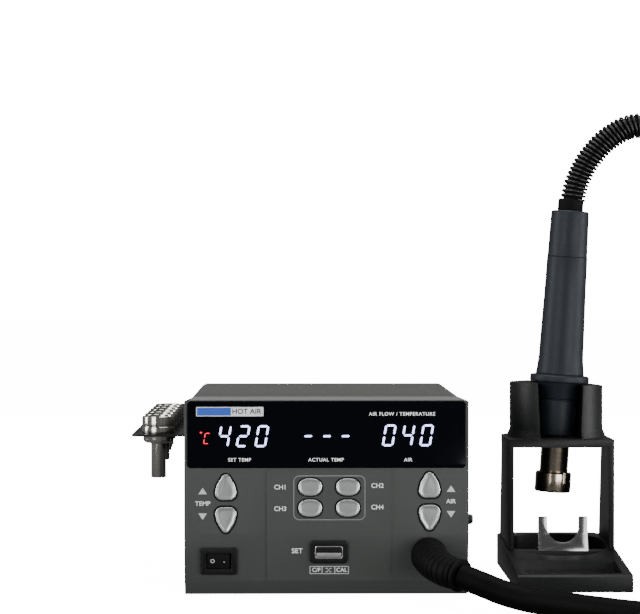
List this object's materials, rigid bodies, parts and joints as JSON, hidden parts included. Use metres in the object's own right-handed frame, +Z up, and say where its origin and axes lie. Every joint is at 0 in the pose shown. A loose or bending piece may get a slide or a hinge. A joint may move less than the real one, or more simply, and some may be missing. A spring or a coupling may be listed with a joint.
{
  "type": "hot air station",
  "caption": "Bench hot air station: digital control unit with side nozzle rack, rubber hose, and hot air handle standing in its own cradle stand.",
  "frame": {"origin": "on the bench, under the middle of the control unit, rack and stand taken together, the hose, its boot and its coil spring left out", "axes": "+X to the right as seen from the front panel, +Y to the rear panel, +Z up"},
  "size_m": [0.5397, 0.4018, 0.3363],
  "materials": {
    "steel_dark": "satin",
    "cover_paint": "fine textured satin",
    "bezel_plastic": "metallic satin",
    "window_glass": "gloss",
    "led_modules": "satin",
    "board_green": "satin",
    "steel_bright": "satin",
    "key_silver": "metallic satin",
    "black_plastic": "satin",
    "core_steel": "satin",
    "coil_copper": "satin tape",
    "parts_blue": "satin",
    "sink_aluminium": "satin",
    "brass": "satin",
    "rubber": "satin",
    "rack_paint": "satin",
    "nozzle_steel": "polished",
    "stand_plastic": "satin",
    "grip_plastic": "satin",
    "heater_ceramic": "matte",
    "spring_wire": "satin"
  },
  "bodies": {
    "unit": {"base_tray": "steel_dark", "rear_panel": "steel_dark", "case_cover": "cover_paint", "front_bezel": "bezel_plastic", "display_window": "window_glass", "display_modules": "led_modules", "control_board": "board_green", "power_board": "board_green", "tact_switches": "steel_bright", "case_screws": "steel_bright", "rack_screws": "steel_bright", "set_surround": "black_plastic", "switch_housing": "black_plastic", "hose_socket": "black_plastic", "blower_housing": "black_plastic", "blower_cover": "black_plastic", "air_duct": "black_plastic", "mains_inlet": "black_plastic", "fuse_drawer": "black_plastic", "side_screws": "black_plastic", "transformer_core": "core_steel", "blower_motor": "core_steel", "transformer_coil": "coil_copper", "power_parts": "parts_blue", "heat_sink": "sink_aluminium", "board_standoffs": "brass", "rubber_feet": "rubber", "hose_boot": "rubber", "hose": "rubber", "nozzle_rack": "rack_paint", "stand_screws": "steel_bright", "fork_bracket": "steel_bright", "sleep_magnet": "core_steel", "stand_feet": "rubber", "stand_base": "stand_plastic", "stand_frame": "stand_plastic"},
    "temp_up_key": {"temp_up_key": "key_silver"},
    "temp_down_key": {"temp_down_key": "key_silver"},
    "air_up_key": {"air_up_key": "key_silver"},
    "air_down_key": {"air_down_key": "key_silver"},
    "channel_key_1": {"channel_key_1": "key_silver"},
    "channel_key_2": {"channel_key_2": "key_silver"},
    "channel_key_3": {"channel_key_3": "key_silver"},
    "channel_key_4": {"channel_key_4": "key_silver"},
    "set_key": {"set_key": "key_silver"},
    "rocker": {"power_rocker": "black_plastic"},
    "impeller": {"blower_impeller": "black_plastic"},
    "nozzle_1": {"nozzle_1": "nozzle_steel"},
    "nozzle_2": {"nozzle_2": "nozzle_steel"},
    "nozzle_3": {"nozzle_3": "nozzle_steel"},
    "nozzle_4": {"nozzle_4": "nozzle_steel"},
    "nozzle_5": {"nozzle_5": "nozzle_steel"},
    "nozzle_6": {"nozzle_6": "nozzle_steel"},
    "handle": {"handle_head": "grip_plastic", "handle_grip": "grip_plastic", "grip_cap": "grip_plastic", "heater_tube": "nozzle_steel", "heater_core": "heater_ceramic", "spring_guard": "spring_wire"},
    "fitted_nozzle": {"fitted_nozzle": "nozzle_steel"}
  },
  "joints": [
    {"name": "temp_up_key_press", "type": "slide", "parent": "unit", "child": "temp_up_key", "axis": [0, 1, 0], "range_m": [0, 0.001], "stiffness_N_per_m": 600},
    {"name": "temp_down_key_press", "type": "slide", "parent": "unit", "child": "temp_down_key", "axis": [0, 1, 0], "range_m": [0, 0.001], "stiffness_N_per_m": 600},
    {"name": "air_up_key_press", "type": "slide", "parent": "unit", "child": "air_up_key", "axis": [0, 1, 0], "range_m": [0, 0.001], "stiffness_N_per_m": 600},
    {"name": "air_down_key_press", "type": "slide", "parent": "unit", "child": "air_down_key", "axis": [0, 1, 0], "range_m": [0, 0.001], "stiffness_N_per_m": 600},
    {"name": "channel_key_1_press", "type": "slide", "parent": "unit", "child": "channel_key_1", "axis": [0, 1, 0], "range_m": [0, 0.001], "stiffness_N_per_m": 600},
    {"name": "channel_key_2_press", "type": "slide", "parent": "unit", "child": "channel_key_2", "axis": [0, 1, 0], "range_m": [0, 0.001], "stiffness_N_per_m": 600},
    {"name": "channel_key_3_press", "type": "slide", "parent": "unit", "child": "channel_key_3", "axis": [0, 1, 0], "range_m": [0, 0.001], "stiffness_N_per_m": 600},
    {"name": "channel_key_4_press", "type": "slide", "parent": "unit", "child": "channel_key_4", "axis": [0, 1, 0], "range_m": [0, 0.001], "stiffness_N_per_m": 600},
    {"name": "set_key_press", "type": "slide", "parent": "unit", "child": "set_key", "axis": [0, 0.988, 0.1544], "range_m": [0, 0.001], "stiffness_N_per_m": 600},
    {"name": "rocker_tilt", "type": "hinge", "parent": "unit", "child": "rocker", "pos_m": [-0.10985, -0.11287, 0.0258], "axis": [0, -0.1544, 0.988], "range_deg": [0, 14]},
    {"name": "impeller_spin", "type": "hinge", "parent": "unit", "child": "impeller", "pos_m": [0.00215, 0.03435, 0.046], "axis": [0, 1, 0], "continuous": true},
    {"name": "nozzle_1_lift", "type": "slide", "parent": "unit", "child": "nozzle_1", "axis": [0, 0, 1], "range_m": [0, 0.045]},
    {"name": "nozzle_2_lift", "type": "slide", "parent": "unit", "child": "nozzle_2", "axis": [0, 0, 1], "range_m": [0, 0.045]},
    {"name": "nozzle_3_lift", "type": "slide", "parent": "unit", "child": "nozzle_3", "axis": [0, 0, 1], "range_m": [0, 0.045]},
    {"name": "nozzle_4_lift", "type": "slide", "parent": "unit", "child": "nozzle_4", "axis": [0, 0, 1], "range_m": [0, 0.045]},
    {"name": "nozzle_5_lift", "type": "slide", "parent": "unit", "child": "nozzle_5", "axis": [0, 0, 1], "range_m": [0, 0.045]},
    {"name": "nozzle_6_lift", "type": "slide", "parent": "unit", "child": "nozzle_6", "axis": [0, 0, 1], "range_m": [0, 0.045]},
    {"name": "handle_lift", "type": "slide", "parent": "unit", "child": "handle", "axis": [0.0628, 0, 0.998], "range_m": [0, 0.09], "deforming": ["hose"]},
    {"name": "nozzle_pull", "type": "slide", "parent": "handle", "child": "fitted_nozzle", "axis": [-0.0628, 0, -0.998], "range_m": [0, 0.02]}
  ]
}
